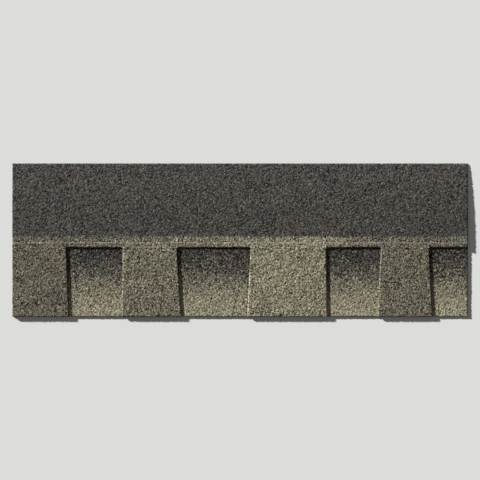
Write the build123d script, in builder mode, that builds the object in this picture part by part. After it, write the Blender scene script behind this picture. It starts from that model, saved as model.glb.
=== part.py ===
from build123d import *
import itertools
import math
import os

# One two-ply asphalt shingle, millimetres. It lies face up on a level floor.
# X runs along the sheet, the butt edge faces -Y, the headlap is at +Y.
# The origin is the middle of the footprint, on the floor.

# Sheet
shingle_length = 1000.0
shingle_width = 337.0
overlay_thickness = 2.4
backer_thickness = 2.2
backer_width = 168.0

# Cut-outs between the teeth of the overlay, from the butt edge up
exposure = 143.0
cutout_above_exposure = 9.0
root_radius = 3.5

# Teeth from the left end: width at the butt edge, width of the gap after it,
# and how far the left and right side lean out between root and butt edge
tooth_pattern = (
    (125.0, 116.0, 0.0, 6.0),
    (130.0, 145.0, 1.5, 9.0),
    (176.0, 110.0, 7.0, 3.0),
    (120.0, 100.0, 7.0, 7.0),
)

# Self-seal adhesive, laid in dashes along the underside near the butt edge
dash_length = 64.0
dash_width = 12.0
dash_thickness = 0.8
dash_gap = 16.0
dash_from_butt = 20.0

# Release tape, a film on the underside of the headlap
tape_width = 28.0
tape_thickness = 0.1
tape_from_rear = 6.0

# Levels and lines that follow from the sizes above
half_length = shingle_length / 2
butt_y = -shingle_width / 2
rear_y = shingle_width / 2
backer_rear_y = butt_y + backer_width
backer_bottom_z = dash_thickness
overlay_bottom_z = backer_bottom_z + backer_thickness
overlay_top_z = overlay_bottom_z + overlay_thickness
cutout_depth = exposure + cutout_above_exposure

# Behind the backer the headlap sags to the floor along one arc, which leaves
# the flat stretch without a kink and meets the floor at the rear edge
sag_reach = rear_y - backer_rear_y
sag_radius = (sag_reach**2 + overlay_bottom_z**2) / (2 * overlay_bottom_z)
sag_centre = (backer_rear_y, overlay_bottom_z - sag_radius)
rear_top_z = sag_centre[1] + math.sqrt(
    (sag_radius + overlay_thickness) ** 2 - sag_reach**2
)

os.makedirs("parts", exist_ok=True)


def sag_angle(y):
    """Angle about the sag's centre, in degrees, of the point of the underside at y."""
    return math.degrees(math.acos((y - backer_rear_y) / sag_radius))


def cutout_outlines():
    """The corners of each cut-out in turn, from the left end of the sheet to its right end."""
    outlines = []
    root_y = butt_y + cutout_depth
    lean_share = cutout_depth / exposure
    tooth_left = -half_length
    for tooth, following in itertools.pairwise(itertools.cycle(tooth_pattern)):
        tooth_width, gap_width, _, right_lean = tooth
        next_left_lean = following[2]
        gap_left = tooth_left + tooth_width
        gap_right = gap_left + gap_width
        if gap_left >= half_length:
            break
        outlines.append(
            [
                (gap_left, butt_y),
                (gap_right, butt_y),
                (gap_right + next_left_lean * lean_share, root_y),
                (gap_left - right_lean * lean_share, root_y),
            ]
        )
        tooth_left = gap_right
    return outlines


# Overlay: the full sheet, whose lower half is die-cut into flared teeth
with BuildPart() as overlay:
    with BuildSketch(Plane.YZ.offset(-half_length)) as overlay_section:
        with BuildLine():
            underside = Line((butt_y, overlay_bottom_z), (backer_rear_y, overlay_bottom_z))
            sagged_underside = TangentArc(underside @ 1, (rear_y, 0), tangent=underside % 1)
            face_side = Line((butt_y, overlay_top_z), (backer_rear_y, overlay_top_z))
            sagged_face = TangentArc(face_side @ 1, (rear_y, rear_top_z), tangent=face_side % 1)
            Line(underside @ 0, face_side @ 0)
            Line(sagged_underside @ 1, sagged_face @ 1)
        make_face()
    extrude(amount=shingle_length)
    with BuildSketch(Plane.XY.offset(overlay_bottom_z)) as cutouts:
        for outline in cutout_outlines():
            with BuildLine():
                Polyline(*outline, close=True)
            make_face()
        fillet(cutouts.vertices().group_by(Axis.Y)[-1], root_radius)
    extrude(amount=overlay_thickness, mode=Mode.SUBTRACT)
overlay.part.label = "overlay"
export_step(overlay.part, "parts/overlay.step")

# Backer strip: the plain under-ply behind the teeth and in the cut-outs
with BuildPart() as backer_strip:
    with BuildSketch(Plane.XY.offset(backer_bottom_z)):
        with Locations((0, butt_y)):
            Rectangle(shingle_length, backer_width, align=(Align.CENTER, Align.MIN))
    extrude(amount=backer_thickness)
backer_strip.part.label = "backer_strip"
export_step(backer_strip.part, "parts/backer_strip.step")

# Sealant strip: as many whole dashes as the length holds, in the middle of it
dash_pitch = dash_length + dash_gap
dash_count = math.floor((shingle_length - dash_gap) / dash_pitch)
with BuildPart() as sealant_strip:
    with BuildSketch():
        with Locations((0, butt_y + dash_from_butt)):
            with GridLocations(dash_pitch, 0, dash_count, 1):
                SlotOverall(dash_length, dash_width)
    extrude(amount=dash_thickness)
sealant_strip.part.label = "sealant_strip"
export_step(sealant_strip.part, "parts/sealant_strip.step")

# Release tape: the film follows the sagging underside
tape_rear_angle = sag_angle(rear_y - tape_from_rear)
tape_front_angle = sag_angle(rear_y - tape_from_rear - tape_width)
with BuildPart() as release_tape:
    with BuildSketch(Plane.YZ.offset(-half_length)) as tape_section:
        with BuildLine():
            tape_turn = tape_front_angle - tape_rear_angle
            stuck_side = CenterArc(sag_centre, sag_radius, tape_rear_angle, tape_turn)
            free_side = CenterArc(
                sag_centre, sag_radius - tape_thickness, tape_rear_angle, tape_turn
            )
            Line(stuck_side @ 0, free_side @ 0)
            Line(stuck_side @ 1, free_side @ 1)
        make_face()
    extrude(amount=shingle_length)
release_tape.part.label = "release_tape"
export_step(release_tape.part, "parts/release_tape.step")
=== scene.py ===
import math

import bpy
import numpy as np
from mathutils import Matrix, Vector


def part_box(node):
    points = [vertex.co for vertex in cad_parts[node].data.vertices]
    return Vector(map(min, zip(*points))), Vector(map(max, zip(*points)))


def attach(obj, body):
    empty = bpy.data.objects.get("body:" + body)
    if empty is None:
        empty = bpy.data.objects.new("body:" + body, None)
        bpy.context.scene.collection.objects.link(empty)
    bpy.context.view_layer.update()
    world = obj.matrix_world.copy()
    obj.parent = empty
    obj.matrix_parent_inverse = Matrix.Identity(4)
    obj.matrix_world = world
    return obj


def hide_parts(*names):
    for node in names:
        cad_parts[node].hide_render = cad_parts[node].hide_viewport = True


SEED = 11

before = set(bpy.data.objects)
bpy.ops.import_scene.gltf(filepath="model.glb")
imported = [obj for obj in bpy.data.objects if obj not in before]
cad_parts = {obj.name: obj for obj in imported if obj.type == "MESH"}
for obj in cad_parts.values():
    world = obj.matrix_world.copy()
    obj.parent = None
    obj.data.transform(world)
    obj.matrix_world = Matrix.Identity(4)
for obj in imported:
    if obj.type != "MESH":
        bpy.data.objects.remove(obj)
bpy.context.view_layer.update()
rng = np.random.default_rng(SEED)

MM = 0.001

# The granule coat: the grid it is built on, its relief and the way it falls away at an edge
GRANULE = 2.4 * MM
FINE_PITCH = 1.7 * MM
COVERED_PITCH = 5 * MM
RELIEF = 0.8 * MM
JITTER = 0.32
ROUNDED_EDGE = 1.8 * MM
ROUNDED_DROP = 0.55 * MM

# The cut edges, and the underside, which is coarser than the top by the stride
EDGE_CRUMBLE = 0.4 * MM
WALL_ROUGHNESS = 0.18 * MM
WALL_RINGS = 3
UNDERSIDE_STRIDE = 8

# How far the teeth run on into the headlap, and the backer's fine part in under the overlay
TOOTH_OVERLAP = 1.5 * MM
BACKER_OVERLAP = 3 * MM

# The self-seal dashes under the butt edge. Each ring of a dome is set in by a share of the half width
DASHES = 12
DASH_LENGTH = 64 * MM
DASH_UNEVEN = 0.16
DASH_INSETS = (0, 0.06, 0.16, 0.3, 0.5, 0.75)
DASH_FLATNESS = 5
CAP_POINTS = 13
SIDE_POINTS = 12

# Where the coloured granules end, measured up from the butt edge
PRIME_WIDTH = 176 * MM
PRIME_FADE = 6 * MM

# The painted nail line: its place, how it wears and wanders, and how much of the granules it covers
NAIL_LINE = 162 * MM
NAIL_LINE_WIDTH = 2.2 * MM
NAIL_LINE_WEAR = 1.2 * MM
NAIL_LINE_WANDER = 0.8 * MM
NAIL_LINE_COVER = 0.24
NAIL_LINE_COLOUR = (196, 194, 188)

# The share of light granules on each tooth and in each cut-out, from the left
TOOTH_LIGHT = (0.20, 0.36, 0.57, 0.26)
GAP_LIGHT = (0.84, 0.89, 0.81, 0.86)
LIGHT_SOFTNESS = 0.7
LIGHT_WANDER = 0.25

# The share of plain granules: the headlap's on the overlay, and the shading band's in the cut-outs.
# The band runs over these shares of the way from the butt edge to the root
BAND_START = -0.05
BAND_FULL = 1.02
PLAIN_SOFTNESS = 1.1
PLAIN_WANDER = 0.1

# Granule colours as (share, screen colour), from dark to light
DARK_BLEND = (
    (0.13, (28, 26, 23)),
    (0.13, (76, 73, 65)),
    (0.27, (113, 109, 97)),
    (0.30, (131, 127, 114)),
    (0.14, (142, 137, 123)),
    (0.03, (152, 147, 134)),
)
LIGHT_BLEND = (
    (0.09, (90, 87, 73)),
    (0.12, (144, 141, 120)),
    (0.30, (175, 171, 147)),
    (0.32, (190, 186, 161)),
    (0.14, (200, 196, 171)),
    (0.03, (210, 206, 181)),
)
BAND_BLEND = (
    (0.24, (20, 19, 19)),
    (0.25, (50, 49, 49)),
    (0.27, (78, 76, 75)),
    (0.17, (104, 101, 98)),
    (0.07, (136, 132, 126)),
)
HEADLAP_BLEND = (
    (0.12, (36, 35, 34)),
    (0.22, (68, 67, 65)),
    (0.32, (90, 89, 86)),
    (0.24, (106, 104, 101)),
    (0.10, (122, 120, 117)),
)
CUT_BLEND = (
    (0.72, (22, 21, 20)),
    (0.14, (34, 32, 30)),
    (0.09, (66, 62, 55)),
    (0.05, (96, 91, 80)),
)
SAND_BLEND = (
    (0.35, (24, 23, 22)),
    (0.35, (42, 41, 39)),
    (0.20, (68, 66, 62)),
    (0.10, (118, 114, 106)),
)

# Slight tints as (position, screen colour): from granule to granule, and in slow patches
GRANULE_TINTS = ((0.0, (254, 246, 244)), (0.5, (250, 250, 250)), (1.0, (247, 251, 245)))
PATCH_TINTS = ((0.3, (255, 246, 247)), (0.5, (252, 250, 248)), (0.7, (249, 252, 243)))

# Colours read off soft noise, as (position, screen colour)
DUST_SHADES = ((0.45, (13, 12, 12)), (0.75, (46, 44, 41)))
FILM_SHADES = ((0.3, (150, 153, 155)), (0.7, (176, 179, 181)))

# Multiplied into a colour, as (position, linear colour)
# The seam ramp darkens each granule's border: partly asphalt, partly painted shade in the pits between
# granules
SEAM_ASPHALT_AND_PAINTED_SHADE = ((0.0, (0.3, 0.29, 0.28, 1)), (0.16, (1, 1, 1, 1)))
SAND_PATCHES = ((0.35, (0.6, 0.6, 0.6, 1)), (0.65, (1.2, 1.19, 1.16, 1)))
SAND_STREAKS = ((0.4, (0.78, 0.78, 0.78, 1)), (0.6, (1.12, 1.11, 1.1, 1)))

# Numbers read off a ramp, as (position, grey)
GRANULE_DOME = ((0.0, (0, 0, 0, 1)), (0.35, (1, 1, 1, 1)))
DUST_ROUGHNESS = ((0.4, (0.2, 0.2, 0.2, 1)), (0.7, (0.55, 0.55, 0.55, 1)))

# Turns one random number of a granule into another
RESHUFFLE = 7.31

# Stray granules pressed into the underside, one to a cell at most
STRAY_CELL = 13 * MM
STRAY_REACH = 0.09

# The texture map. Each tooth has a square cell, with its wall, its underside and its top one above
# another. A long sheet has the two halves of its top in two rows. Rectangles are (u0, v0, u1, v1)
TOOTH_CELL = 0.5
MAP_MARGIN = 0.005
TOOTH_WALL_END = 0.03
TOOTH_UNDERSIDE = (0.04, 0.06)
TOOTH_TOP_START = 0.07
SHEET_LAYOUT = {
    "top": [(0.004, 0.34, 0.996, 0.665), (0.004, 0.67, 0.996, 0.996)],
    "wall": (0.004, 0.004, 0.996, 0.03),
    "bottom": (0.004, 0.04, 0.996, 0.33),
}

# The studio. A level face gets the sun's strength times the sine of its height, over pi, and the fill.
# Together they come to about 1, at which a colour renders as it is written
FLOOR_COLOUR = (0.72, 0.72, 0.71, 1)
FLOOR_ROUGHNESS = 0.9
FLOOR_REACH = 60.0
SUN_STRENGTH = 12.8
SUN_WIDTH = math.radians(2.5)
SUN_HEIGHT = math.radians(12)
SUN_BEARING = math.radians(57)
FILL_COLOUR = (1, 1, 1, 1)
FILL_STRENGTH = 0.15

# The camera's lens and sensor in millimetres, and the share of the frame's width that the sheet fills
LENS = 85
SENSOR = 36
FRAME_SHARE = 0.95

# Where a Mix node of colours keeps its factor and two colours, and its result
MIX_INPUTS = (0, 6, 7)
MIX_RESULT = 2

# Tells points of the CAD mesh apart
TOLERANCE = 0.01 * MM
FLANK_END_SPREAD = 0.2 * MM

overlay_low, overlay_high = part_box("overlay")
backer_low, backer_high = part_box("backer_strip")
LEFT, RIGHT = overlay_low.x, overlay_high.x
BUTT, REAR = overlay_low.y, overlay_high.y
SAG_START = backer_high.y
BACKER_TOP, BACKER_BOTTOM = backer_high.z, backer_low.z
OVERLAY_TOP = overlay_high.z
SAG_RADIUS = ((REAR - SAG_START) ** 2 + BACKER_TOP**2) / (2 * BACKER_TOP)


def placed(name, data):
    """A new object, linked into the scene."""
    thing = bpy.data.objects.new(name, data)
    bpy.context.scene.collection.objects.link(thing)
    return thing


def node_points(node):
    """The vertices of a CAD node."""
    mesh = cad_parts[node].data
    points = np.zeros(len(mesh.vertices) * 3)
    mesh.vertices.foreach_get("co", points)
    return points.reshape(-1, 3)


def sag(y):
    """How far the headlap has dropped at y."""
    reach = np.clip(y - SAG_START, 0, None)
    return SAG_RADIUS - np.sqrt(SAG_RADIUS**2 - reach**2)


def read_teeth():
    """The root line, the root radius, and each tooth's two sides as (x at the butt edge, slope)."""
    points = node_points("overlay")
    corners = np.unique(points[np.abs(points[:, 1] - BUTT) < TOLERANCE][:, 0].round(6))
    between = (points[:, 1] > BUTT + TOLERANCE) & (points[:, 1] < SAG_START - TOLERANCE)
    root = points[between][:, 1].max()
    flank_ends = points[between & (points[:, 1] < root - TOLERANCE)]
    straight = flank_ends[:, 1].min()
    flank_ends = flank_ends[flank_ends[:, 1] < straight + FLANK_END_SPREAD]
    sides = []
    for x in corners:
        slope = 0.0
        if LEFT + TOLERANCE < x < RIGHT - TOLERANCE:
            end = flank_ends[np.abs(flank_ends[:, 0] - x).argmin()]
            slope = (end[0] - x) / (end[1] - BUTT)
        sides.append((x, slope))
    return root, root - straight, list(zip(sides[::2], sides[1::2]))


ROOT, ROOT_RADIUS, TEETH = read_teeth()

# Each cut-out lies between the right side of one tooth and the left side of the next, or the sheet's end
following_sides = [left for left, right in TEETH[1:]] + [(RIGHT, 0.0)]
GAPS = [(right, following) for (left, right), following in zip(TEETH, following_sides)]


def side_at(side, y):
    """Where a tooth's side is at y."""
    x, slope = side
    return x + slope * (y - BUTT)


def smooth(value, low, high):
    """0 below low, 1 above high, and an eased ramp between."""
    t = np.clip((value - low) / (high - low), 0, 1)
    return t * t * (3 - 2 * t)


def by_span(x, spans, values):
    """One value for each span between two sides, blended from span to span."""
    stations = [x_at_butt for span in spans for x_at_butt, slope in span]
    return np.interp(x, stations, np.repeat(values, 2))


def tooth_light(x, y):
    """The share of light granules on the overlay: a colour drop for each tooth."""
    return by_span(x, TEETH, TOOTH_LIGHT)


def gap_light(x, y):
    """The share of light granules on the backer."""
    return by_span(x, GAPS, GAP_LIGHT)


def headlap_plain(x, y):
    """The share of plain headlap granules on the overlay."""
    return smooth(y - BUTT, PRIME_WIDTH - PRIME_FADE, PRIME_WIDTH + PRIME_FADE)


def shadow_band(x, y):
    """The share of dark granules in the band that shades each cut-out towards its root."""
    share = (y - BUTT) / (ROOT - BUTT)
    return np.clip((share - BAND_START) / (BAND_FULL - BAND_START), 0, 1)


def overlay_face(x, y):
    """The height of the overlay's weather face."""
    return OVERLAY_TOP - sag(y)


def overlay_underside(x, y):
    """The height of the overlay's underside."""
    return BACKER_TOP - sag(y)


def backer_face(x, y):
    """The height of the backer's weather face."""
    return np.full(x.shape, BACKER_TOP)


def backer_underside(x, y):
    """The height of the backer's underside."""
    return np.full(x.shape, BACKER_BOTTOM)


def ring_of(rows, columns):
    """Row and column of each border vertex, once round from the front left corner."""
    j = [np.zeros(columns, int), np.arange(rows), np.full(columns, rows), np.arange(rows, 0, -1)]
    i = [np.arange(columns), np.full(rows, columns), np.arange(columns, 0, -1), np.zeros(rows, int)]
    return np.concatenate(j), np.concatenate(i)


def to_rect(u, v, rect):
    """Places 0 to 1 coordinates in a rectangle of the texture map."""
    u0, v0, u1, v1 = rect
    return np.stack([u0 + u * (u1 - u0), v0 + v * (v1 - v0)], -1)


def share_of(values, axis=None):
    """Values as 0 to 1 of their range."""
    return (values - values.min(axis)) / np.ptp(values, axis=axis)


def edge_drop(x, y, rounded):
    """How far the face falls away at the cut edges that are named."""
    to_edge = {
        "left": x - x[:, :1],
        "right": x[:, -1:] - x,
        "front": y - y[:1],
        "rear": y[-1:] - y,
    }
    nearest = np.min([to_edge[side] for side in rounded], axis=0)
    return ROUNDED_DROP * np.clip(1 - nearest / ROUNDED_EDGE, 0, 1) ** 2


def rough_top(x, y, top, rounded):
    """The granule face: its places shifted inside and crumbled at the border, and its height rough."""
    shape = x.shape
    inside = np.zeros(shape)
    inside[1:-1, 1:-1] = JITTER
    top_x = x + inside * np.gradient(x, axis=1) * rng.uniform(-1, 1, shape)
    top_y = y + inside * np.gradient(y, axis=0) * rng.uniform(-1, 1, shape)
    top_z = top(x, y) - RELIEF * rng.random(shape) ** 2 - edge_drop(x, y, rounded)
    crumble = rng.random(shape) * EDGE_CRUMBLE
    top_x[:, 0] += crumble[:, 0]
    top_x[:, -1] -= crumble[:, -1]
    top_y[0] += crumble[0]
    top_y[-1] -= crumble[-1]
    return np.stack([top_x, top_y, top_z], -1)


def wall_points(border, low_z, middle):
    """Rings of points from the top's border down to the underside, set in unevenly."""
    rings = []
    for level in range(1, WALL_RINGS + 1):
        drop = level / WALL_RINGS
        inward = WALL_ROUGHNESS * rng.random(len(border))
        ring = border.copy()
        ring[:, :2] -= np.sign(border[:, :2] - middle) * inward[:, None]
        ring[:, 2] = border[:, 2] * (1 - drop) + low_z * drop
        rings.append(ring)
    return rings


def top_faces(rows, columns):
    """Two triangles for each cell, with the diagonals turned in a checker, and each one's column."""
    j, i = np.meshgrid(np.arange(rows), np.arange(columns), indexing="ij")
    across = columns + 1
    a = (j * across + i).ravel()
    b, c, d = a + 1, a + across + 1, a + across
    turned = ((j + i) % 2 == 1).ravel()[:, None]
    first = np.where(turned, np.stack([a, b, d], 1), np.stack([a, b, c], 1))
    second = np.where(turned, np.stack([b, c, d], 1), np.stack([a, c, d], 1))
    return np.concatenate([first, second]), np.tile(i.ravel(), 2)


def top_places(x, y, triangles, cell_column, rects):
    """The top's places on the texture map, with its columns shared out among the rectangles."""
    along = share_of(y).ravel()
    edges = np.linspace(0, x.shape[1] - 1, len(rects) + 1).round().astype(int)
    places = np.zeros((len(triangles), 3, 2))
    for rect, start, end in zip(rects, edges, edges[1:]):
        here = (cell_column >= start) & (cell_column < end)
        low, high = x[:, start].min(), x[:, end].max()
        u = (x.ravel()[triangles[here]] - low) / (high - low)
        places[here] = to_rect(u, along[triangles[here]], rect)
    return places


def wall_faces(border_ids, first_ring, rect):
    """Quads from the border down through the rings, and their places on the texture map."""
    count = len(border_ids)
    following = np.roll(np.arange(count), -1)
    turn = np.arange(count + 1) / count
    u = np.stack([turn[:-1], turn[1:], turn[1:], turn[:-1]], 1)
    faces, places = [], []
    upper = border_ids
    for level in range(WALL_RINGS):
        lower = first_ring + level * count + np.arange(count)
        faces.append(np.stack([lower, lower[following], upper[following], upper], 1))
        v_low, v_high = 1 - (level + 1) / WALL_RINGS, 1 - level / WALL_RINGS
        v = np.broadcast_to([v_low, v_low, v_high, v_high], u.shape)
        places.append(to_rect(u, v, rect))
        upper = lower
    return np.concatenate(faces), np.concatenate(places)


def underside_faces(rows, columns, vertex_at):
    """Coarse cells, whose outer ones take in every border vertex so that the slab closes."""
    stride = UNDERSIDE_STRIDE
    faces = []
    for j0 in range(0, rows, stride):
        j1 = j0 + stride
        for i0 in range(0, columns, stride):
            i1 = i0 + stride
            front = range(i0, i1) if j0 == 0 else [i0]
            right = range(j0, j1) if i1 == columns else [j0]
            rear = range(i1, i0, -1) if j1 == rows else [i1]
            left = range(j1, j0, -1) if i0 == 0 else [j1]
            outline = [vertex_at[j0, i] for i in front] + [vertex_at[j, i1] for j in right]
            outline += [vertex_at[j1, i] for i in rear] + [vertex_at[j, i0] for j in left]
            faces.append(outline[::-1])
    return faces


def slab(x, y, top, bottom, layout, light, plain, rounded=("left", "right", "front", "rear")):
    """A closed sheet over a grid of places: a rough granule top, a torn edge and a plain underside."""
    rows, columns = x.shape[0] - 1, x.shape[1] - 1
    face = rough_top(x, y, top, rounded)
    ring_j, ring_i = ring_of(rows, columns)
    low_z = bottom(x, y)
    rings = wall_points(face[ring_j, ring_i], low_z[ring_j, ring_i], (x.mean(), y.mean()))

    tops, count = x.size, len(ring_j)
    coarse = (
        slice(UNDERSIDE_STRIDE, rows, UNDERSIDE_STRIDE),
        slice(UNDERSIDE_STRIDE, columns, UNDERSIDE_STRIDE),
    )
    inner = np.stack([x, y, low_z], -1)[coarse]
    points = np.concatenate([face.reshape(-1, 3), *rings, inner.reshape(-1, 3)])
    last_ring = tops + (WALL_RINGS - 1) * count
    vertex_at = np.full(x.shape, -1)
    vertex_at[coarse] = last_ring + count + np.arange(inner[..., 0].size).reshape(inner.shape[:2])
    vertex_at[ring_j, ring_i] = last_ring + np.arange(count)

    triangles, cell_column = top_faces(rows, columns)
    top_map = top_places(x, y, triangles, cell_column, layout["top"])
    wall, wall_map = wall_faces(ring_j * (columns + 1) + ring_i, tops, layout["wall"])
    under = underside_faces(rows, columns, vertex_at)
    under_ids = np.concatenate(under)
    flat = share_of(points[:, :2], axis=0)[under_ids]
    under_map = to_rect(flat[:, 0], flat[:, 1], layout["bottom"])

    light_share, plain_share = np.zeros(len(points)), np.zeros(len(points))
    light_share[:tops] = light(face[..., 0], face[..., 1]).ravel()
    plain_share[:tops] = plain(face[..., 0], face[..., 1]).ravel()
    corners = [np.full(len(triangles), 3), np.full(len(wall), 4), [len(outline) for outline in under]]
    return {
        "points": points,
        "loops": np.concatenate([triangles.ravel(), wall.ravel(), under_ids]),
        "totals": np.concatenate(corners),
        "slots": np.repeat([0, 1, 2], [len(triangles), len(wall), len(under)]),
        "map": np.concatenate([top_map.reshape(-1, 2), wall_map.reshape(-1, 2), under_map]),
        "light": light_share,
        "plain": plain_share,
    }


def joined(name, slabs, materials):
    """One piece from one or more slabs, with its texture map and its two granule shares."""
    offsets = np.cumsum([0] + [len(part["points"]) for part in slabs])
    loops = np.concatenate([part["loops"] + start for part, start in zip(slabs, offsets)])
    totals = np.concatenate([part["totals"] for part in slabs]).astype(np.int32)
    slots = np.concatenate([part["slots"] for part in slabs]).astype(np.int32)
    mesh = bpy.data.meshes.new(name)
    mesh.vertices.add(offsets[-1])
    mesh.vertices.foreach_set("co", np.concatenate([part["points"] for part in slabs]).ravel())
    mesh.loops.add(len(loops))
    mesh.loops.foreach_set("vertex_index", loops.astype(np.int32))
    mesh.polygons.add(len(totals))
    mesh.polygons.foreach_set("loop_start", (np.cumsum(totals) - totals).astype(np.int32))
    mesh.polygons.foreach_set("loop_total", totals)
    mesh.polygons.foreach_set("material_index", slots)
    mesh.polygons.foreach_set("use_smooth", slots == 0)
    layer = mesh.uv_layers.new(name="OFBake")
    layer.uv.foreach_set("vector", np.concatenate([part["map"] for part in slabs]).ravel())
    for key in ("light", "plain"):
        attribute = mesh.attributes.new(key + "_share", "FLOAT", "POINT")
        attribute.data.foreach_set("value", np.concatenate([part[key] for part in slabs]))
    mesh.update(calc_edges=True)
    mesh.validate()
    for material in materials:
        mesh.materials.append(material)
    return placed(name, mesh)


def steps(length, pitch):
    """How many cells of about that pitch fit, as a whole number of underside strides."""
    return max(1, round(length / pitch / UNDERSIDE_STRIDE)) * UNDERSIDE_STRIDE


def tooth_layout(index):
    """The texture map's cell for one tooth: four cells make a square."""
    column, row = index % 2, index // 2
    base = TOOTH_CELL * row
    u0, u1 = TOOTH_CELL * column + MAP_MARGIN, TOOTH_CELL * (column + 1) - MAP_MARGIN
    under_low, under_high = TOOTH_UNDERSIDE
    return {
        "top": [(u0, base + TOOTH_TOP_START, u1, base + TOOTH_CELL - MAP_MARGIN)],
        "wall": (u0, base + MAP_MARGIN, u1, base + TOOTH_WALL_END),
        "bottom": (u0, base + under_low, u1, base + under_high),
    }


def make_teeth(materials):
    """The overlay's teeth, each a slab between its own two sides."""
    slabs = []
    rear = ROOT + TOOTH_OVERLAP
    for index, (left, right) in enumerate(TEETH):
        columns = steps(right[0] - left[0], FINE_PITCH)
        rows = steps(rear - BUTT, FINE_PITCH)
        y = np.linspace(BUTT, rear, rows + 1)[:, None] * np.ones(columns + 1)
        across = np.linspace(0, 1, columns + 1)[None]
        x = side_at(left, y) * (1 - across) + side_at(right, y) * across
        slabs.append(
            slab(
                x, y, overlay_face, overlay_underside, tooth_layout(index),
                tooth_light, headlap_plain, rounded=("left", "right", "front"),
            )
        )
    return joined("overlay_teeth", slabs, materials)


def root_line(x):
    """The front edge of the headlap: straight across each cut-out, with rounded corners."""
    edge = np.full(x.shape, ROOT - ROOT_RADIUS)
    for left, right in GAPS:
        low, high = side_at(left, ROOT), side_at(right, ROOT)
        to_side = np.minimum(x - low, high - x if high < RIGHT - MM else x - low)
        corner = np.clip(ROOT_RADIUS - to_side, 0, ROOT_RADIUS)
        rounded = ROOT - ROOT_RADIUS + np.sqrt(ROOT_RADIUS**2 - corner**2)
        edge = np.where((x > low) & (x < high), rounded, edge)
    return edge


def make_headlap(materials):
    """The overlay behind the root line."""
    columns, rows = steps(RIGHT - LEFT, FINE_PITCH), steps(REAR - ROOT, FINE_PITCH)
    x = np.linspace(LEFT, RIGHT, columns + 1)[None] * np.ones((rows + 1, 1))
    up = np.linspace(0, 1, rows + 1)[:, None]
    y = root_line(x) * (1 - up) + REAR * up
    sheet = slab(x, y, overlay_face, overlay_underside, SHEET_LAYOUT, tooth_light, headlap_plain)
    return joined("overlay_headlap", [sheet], materials)


def backer_stations():
    """The backer's columns: close together where a cut-out shows it, wide apart where it is covered."""
    stations = [LEFT]
    for left, right in GAPS:
        low = min(side_at(left, BUTT), side_at(left, ROOT)) - BACKER_OVERLAP
        high = min(max(side_at(right, BUTT), side_at(right, ROOT)) + BACKER_OVERLAP, RIGHT)
        for end, pitch in ((low, COVERED_PITCH), (high, FINE_PITCH)):
            count = max(1, round((end - stations[-1]) / pitch))
            stations += list(np.linspace(stations[-1], end, count + 1)[1:])
    # The first step is divided until the columns are a whole number of underside strides
    extra = -(len(stations) - 1) % UNDERSIDE_STRIDE
    return list(np.linspace(stations[0], stations[1], extra + 2)) + stations[2:]


def make_backer(materials):
    """The under-ply behind the teeth."""
    shown = ROOT + BACKER_OVERLAP
    fine = np.linspace(BUTT, shown, steps(shown - BUTT, FINE_PITCH) + 1)
    covered = np.linspace(fine[-1], SAG_START, UNDERSIDE_STRIDE + 1)[1:]
    x, y = np.meshgrid(np.array(backer_stations()), np.concatenate([fine, covered]))
    sheet = slab(x, y, backer_face, backer_underside, SHEET_LAYOUT, gap_light, shadow_band)
    return joined("backer", [sheet], materials)


def dash_outline(start, end):
    """Once round a dash: the spine point and the outward direction for each place."""
    spine, direction = [], []
    for centre, other, turned in ((end, start, -math.pi / 2), (start, end, math.pi / 2)):
        for angle in np.linspace(turned, turned + math.pi, CAP_POINTS):
            spine.append(centre)
            direction.append((math.cos(angle), math.sin(angle)))
        for x in np.linspace(centre, other, SIDE_POINTS + 2)[1:-1]:
            spine.append(x)
            direction.append((0.0, math.sin(turned + math.pi)))
    return np.array(spine), np.array(direction)


def make_dashes(material):
    """Adhesive laid hot: domed dashes, uneven in width, with a flat where they rest."""
    low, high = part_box("sealant_strip")
    radius, middle_y = (high.y - low.y) / 2, (high.y + low.y) / 2
    vertices, faces = [], []
    for start in np.linspace(low.x, high.x - DASH_LENGTH, DASHES):
        spine, direction = dash_outline(start + radius, start + DASH_LENGTH - radius)
        count = len(spine)
        rough = rng.random(count)
        rough = (np.roll(rough, 1) + rough + np.roll(rough, -1)) / 3
        width = radius * (1 - DASH_UNEVEN * rough)
        first = len(vertices)
        for inset in DASH_INSETS:
            reach = width * (1 - inset)
            z = high.z - (high.z - low.z) * (1 - (1 - inset) ** DASH_FLATNESS)
            x, y = spine + direction[:, 0] * reach, middle_y + direction[:, 1] * reach
            vertices += [(a, b, z) for a, b in zip(x, y)]
        rings = len(DASH_INSETS)
        for ring in range(rings - 1):
            here = first + ring * count
            for i in range(count):
                j = (i + 1) % count
                faces.append((here + j, here + i, here + count + i, here + count + j))
        last = first + (rings - 1) * count
        faces.append(tuple(first + i for i in range(count)))
        faces.append(tuple(last + i for i in range(count))[::-1])
    mesh = bpy.data.meshes.new("sealant_dashes")
    mesh.from_pydata(vertices, [], faces)
    mesh.polygons.foreach_set("use_smooth", [len(face) == 4 for face in faces])
    mesh.materials.append(material)
    return placed("sealant_dashes", mesh)


def linear(*screen):
    """Screen values of 0 to 255 as a linear colour, by the standard curve."""
    return [
        value / 12.92 / 255 if value <= 10.3 else ((value / 255 + 0.055) / 1.055) ** 2.4
        for value in screen
    ] + [1.0]


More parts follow.
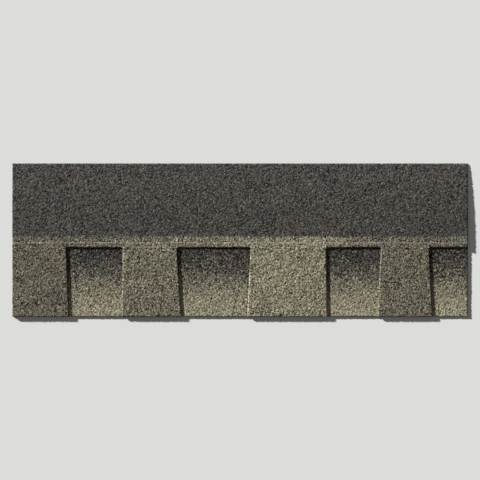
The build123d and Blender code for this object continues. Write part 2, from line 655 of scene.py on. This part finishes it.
class Nodes:
    """Short ways to add and link the nodes of one material."""

    def __init__(self, name):
        self.material = bpy.data.materials.new(name)
        self.material.use_nodes = True
        self.tree = self.material.node_tree
        self.shader = self.tree.nodes["Principled BSDF"]

    def add(self, kind, **settings):
        """A new node with its settings."""
        node = self.tree.nodes.new("ShaderNode" + kind)
        for key, value in settings.items():
            setattr(node, key, value)
        return node

    def fill(self, socket, value):
        """Links the socket to an output, or sets it to a plain value."""
        if isinstance(value, bpy.types.NodeSocket):
            self.tree.links.new(value, socket)
        else:
            socket.default_value = value

    def math(self, operation, *values):
        """A number worked out from others."""
        node = self.add("Math", operation=operation)
        for socket, value in zip(node.inputs, values):
            self.fill(socket, value)
        return node.outputs[0]

    def between(self, share, low, high):
        """A share of 0 to 1 as a number from low to high."""
        return self.math("MULTIPLY_ADD", share, high - low, low)

    def mix(self, factor, first, second, blend="MIX"):
        """Two colours mixed by the factor."""
        node = self.add("Mix", data_type="RGBA", blend_type=blend)
        for index, value in zip(MIX_INPUTS, (factor, first, second)):
            self.fill(node.inputs[index], value)
        return node.outputs[MIX_RESULT]

    def tinted(self, colour, tint):
        """The colour multiplied by the tint."""
        return self.mix(1.0, colour, tint, "MULTIPLY")

    def ramp(self, factor, stops, interpolation="LINEAR"):
        """A ramp with stops of (position, linear colour)."""
        node = self.add("ValToRGB")
        node.color_ramp.interpolation = interpolation
        elements = node.color_ramp.elements
        while len(elements) < len(stops):
            elements.new(1.0)
        for element, (position, colour) in zip(elements, stops):
            element.position, element.color = position, colour
        self.fill(node.inputs[0], factor)
        return node.outputs[0]

    def screen_ramp(self, factor, stops):
        """A ramp with stops of (position, screen colour)."""
        return self.ramp(factor, [(position, linear(*colour)) for position, colour in stops])

    def blend_ramp(self, number, blend):
        """One colour for each random number, in the blend's shares."""
        position, stops = 0.0, []
        for share, colour in blend:
            stops.append((position, linear(*colour)))
            position += share
        return self.ramp(number, stops, "CONSTANT")

    def place(self):
        """The place on the object, in metres."""
        return self.add("TexCoord").outputs["Object"]

    def noise(self, size, detail, stretch=(1, 1, 1)):
        """Soft noise with spots of about that size."""
        mapping = self.add("Mapping")
        mapping.inputs["Scale"].default_value = stretch
        self.fill(mapping.inputs["Vector"], self.place())
        node = self.add("TexNoise")
        node.inputs["Scale"].default_value = 1 / size
        node.inputs["Detail"].default_value = detail
        self.fill(node.inputs["Vector"], mapping.outputs[0])
        return node.outputs["Fac"]

    def cells(self, size, feature="F1"):
        """Uneven cells of about that size."""
        node = self.add("TexVoronoi", feature=feature)
        node.inputs["Scale"].default_value = 1 / size
        self.fill(node.inputs["Vector"], self.place())
        return node

    def picks(self, cells):
        """Three random numbers for each cell."""
        node = self.add("SeparateColor")
        self.fill(node.inputs[0], cells.outputs["Color"])
        return node.outputs

    def bump(self, height, distance, strength=1.0, under=None):
        """A normal bumped by the height, over another bump where there is one."""
        node = self.add("Bump")
        node.inputs["Strength"].default_value = strength
        node.inputs["Distance"].default_value = distance
        self.fill(node.inputs["Height"], height)
        if under is not None:
            self.fill(node.inputs["Normal"], under)
        return node.outputs[0]

    def finish(self, colour, roughness, normal):
        """The material, with its colour, roughness and normal linked."""
        for name, value in (("Base Color", colour), ("Roughness", roughness), ("Normal", normal)):
            self.fill(self.shader.inputs[name], value)
        return self.material


def granule_material(name, plain_blend, nail_line=False):
    """Crushed mineral granules bedded in asphalt."""
    n = Nodes(name)
    pick, sort, kind = n.picks(n.cells(GRANULE))

    def share(attribute, wander):
        """The attribute with a slow drift, so that a blend has no hard border."""
        node = n.add("Attribute", attribute_name=attribute)
        drift = n.between(n.noise(size=38 * MM, detail=3), low=-wander / 2, high=wander / 2)
        return n.math("ADD", node.outputs["Fac"], drift)

    def chosen(number, wanted, softness):
        """1 for the granules that take the wanted colour, 0 for the rest, and some between."""
        reach = n.math("MULTIPLY", wanted, 1 + softness)
        scaled = n.math("DIVIDE", n.math("SUBTRACT", reach, number), softness)
        scaled.node.use_clamp = True
        return scaled

    is_light = chosen(sort, share("light_share", LIGHT_WANDER), LIGHT_SOFTNESS)
    is_plain = chosen(kind, share("plain_share", PLAIN_WANDER), PLAIN_SOFTNESS)
    colour = n.mix(is_light, n.blend_ramp(pick, DARK_BLEND), n.blend_ramp(pick, LIGHT_BLEND))
    colour = n.mix(is_plain, colour, n.blend_ramp(pick, plain_blend))

    # Warm and cool granules side by side, in patches that lean to one or the other
    reshuffled = n.math("FRACT", n.math("MULTIPLY", sort, RESHUFFLE))
    colour = n.tinted(colour, n.screen_ramp(reshuffled, GRANULE_TINTS))
    colour = n.tinted(colour, n.screen_ramp(n.noise(size=26 * MM, detail=2), PATCH_TINTS))

    # Darker between the granules: partly the black asphalt that shows there, partly painted shade in the
    # pits between them
    border = n.cells(GRANULE, "DISTANCE_TO_EDGE").outputs["Distance"]
    colour = n.tinted(colour, n.ramp(border, SEAM_ASPHALT_AND_PAINTED_SHADE))

    if nail_line:
        split = n.add("SeparateXYZ")
        n.fill(split.inputs[0], n.place())
        middle = BUTT + NAIL_LINE
        wander = n.between(n.noise(size=14 * MM, detail=1), low=middle, high=middle + NAIL_LINE_WANDER)
        off = n.math("ABSOLUTE", n.math("SUBTRACT", split.outputs["Y"], wander))
        thinnest = (NAIL_LINE_WIDTH - NAIL_LINE_WEAR) / 2
        worn = n.between(kind, low=thinnest, high=thinnest + NAIL_LINE_WEAR)
        painted = n.math("LESS_THAN", off, worn)
        cover = n.math("MULTIPLY", painted, NAIL_LINE_COVER)
        colour = n.mix(cover, colour, linear(*NAIL_LINE_COLOUR))

    n.shader.inputs["Specular IOR Level"].default_value = 0.1
    dome = n.bump(n.ramp(border, GRANULE_DOME), distance=0.3 * MM, strength=0.8)
    grit = n.bump(n.noise(size=0.35 * MM, detail=2), distance=0.06 * MM, strength=0.6, under=dome)
    return n.finish(colour, n.between(sort, low=0.78, high=0.98), grit)


def edge_material():
    """The cut through the sheet: black asphalt with the ends of granules and mat in it."""
    n = Nodes("cut_edge")
    pick, sort, _ = n.picks(n.cells(size=0.9 * MM))
    torn = n.bump(n.noise(size=0.8 * MM, detail=3), distance=0.2 * MM)
    return n.finish(n.blend_ramp(pick, CUT_BLEND), n.between(sort, low=0.55, high=0.85), torn)


def underside_material():
    """Asphalt rolled in fine sand so that it doesn't stick, with stray granules pressed in."""
    n = Nodes("sanded_underside")
    pick, sort, _ = n.picks(n.cells(size=0.8 * MM))
    colour = n.blend_ramp(pick, SAND_BLEND)
    colour = n.tinted(colour, n.ramp(n.noise(size=45 * MM, detail=5), SAND_PATCHES))
    along = n.noise(size=7 * MM, detail=3, stretch=(0.06, 1, 1))
    colour = n.tinted(colour, n.ramp(along, SAND_STREAKS))

    stray = n.cells(STRAY_CELL)
    stray_pick, stray_size, _ = n.picks(stray)
    reach = n.math("MULTIPLY", stray_size, STRAY_REACH)
    is_stray = n.math("LESS_THAN", stray.outputs["Distance"], reach)
    colour = n.mix(is_stray, colour, n.blend_ramp(stray_pick, LIGHT_BLEND))
    sand = n.bump(n.noise(size=0.9 * MM, detail=3), distance=0.2 * MM)
    raised = n.bump(is_stray, distance=0.5 * MM, strength=0.6, under=sand)
    return n.finish(colour, n.between(sort, low=0.62, high=0.87), raised)


def sealant_material():
    """Soft black bitumen with a skin, dusty in places."""
    n = Nodes("sealant")
    dust = n.noise(size=5 * MM, detail=4)
    skin = n.bump(n.noise(size=3.5 * MM, detail=3), distance=0.35 * MM)
    return n.finish(n.screen_ramp(dust, DUST_SHADES), n.ramp(dust, DUST_ROUGHNESS), skin)


def film_material():
    """Thin release film, a little cloudy and crinkled."""
    n = Nodes("film")
    cloudy = n.screen_ramp(n.noise(size=20 * MM, detail=3), FILM_SHADES)
    roughness = n.between(n.noise(size=8 * MM, detail=2), low=0.12, high=0.32)
    return n.finish(cloudy, roughness, n.bump(n.noise(size=9 * MM, detail=2), distance=0.4 * MM))


def make_floor():
    """A plain pale floor, wide enough to meet the backdrop without a line."""
    mesh = bpy.data.meshes.new("floor")
    corners = [(x * FLOOR_REACH, y * FLOOR_REACH, 0) for x, y in ((-1, -1), (1, -1), (1, 1), (-1, 1))]
    mesh.from_pydata(corners, [], [(0, 1, 2, 3)])
    n = Nodes("floor")
    n.shader.inputs["Base Color"].default_value = FLOOR_COLOUR
    n.shader.inputs["Roughness"].default_value = FLOOR_ROUGHNESS
    n.shader.inputs["Specular IOR Level"].default_value = 0.0
    mesh.materials.append(n.material)
    placed("floor", mesh)


def make_light():
    """A raking key from the upper left draws the tooth shadows, and a pale dome fills them."""
    sun = bpy.data.lights.new("key", "SUN")
    sun.energy, sun.angle = SUN_STRENGTH, SUN_WIDTH
    key = placed("key", sun)
    key.rotation_euler = (math.pi / 2 - SUN_HEIGHT, 0, SUN_BEARING - math.pi)

    world = bpy.data.worlds.new("studio")
    world.use_nodes = True
    tree = world.node_tree
    fill = tree.nodes["Background"]
    fill.inputs["Color"].default_value = FILL_COLOUR
    fill.inputs["Strength"].default_value = FILL_STRENGTH
    backdrop = tree.nodes.new("ShaderNodeBackground")
    backdrop.inputs["Color"].default_value = FLOOR_COLOUR
    path = tree.nodes.new("ShaderNodeLightPath")
    choose = tree.nodes.new("ShaderNodeMixShader")
    tree.links.new(path.outputs["Is Camera Ray"], choose.inputs[0])
    tree.links.new(fill.outputs[0], choose.inputs[1])
    tree.links.new(backdrop.outputs[0], choose.inputs[2])
    tree.links.new(choose.outputs[0], tree.nodes["World Output"].inputs[0])
    bpy.context.scene.world = world


def make_camera():
    """Straight down, with the sheet nearly filling the frame's width."""
    camera = bpy.data.cameras.new("camera")
    camera.lens, camera.sensor_width = LENS, SENSOR
    frame_width = (RIGHT - LEFT) / FRAME_SHARE
    eye = placed("camera", camera)
    eye.location = (0, 0, OVERLAY_TOP + frame_width * LENS / SENSOR)
    bpy.context.scene.camera = eye


overlay_coat = granule_material("overlay_granules", HEADLAP_BLEND, nail_line=True)
backer_coat = granule_material("backer_granules", BAND_BLEND)
cut_edge, underside = edge_material(), underside_material()

teeth = make_teeth([overlay_coat, cut_edge, underside])
headlap = make_headlap([overlay_coat, cut_edge, underside])
backer = make_backer([backer_coat, cut_edge, underside])
dashes = make_dashes(sealant_material())
for piece, node, slot_name in (
    (teeth, "overlay", "granule_overlay"),
    (headlap, "overlay", "granule_overlay"),
    (backer, "backer_strip", "granule_backer"),
    (dashes, "sealant_strip", "sealant"),
):
    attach(piece, "root")
    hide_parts(node)

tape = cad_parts["release_tape"].data
tape.materials.clear()
tape.materials.append(film_material())

make_floor()
make_light()
make_camera()
bpy.context.scene.view_settings.view_transform = "Standard"
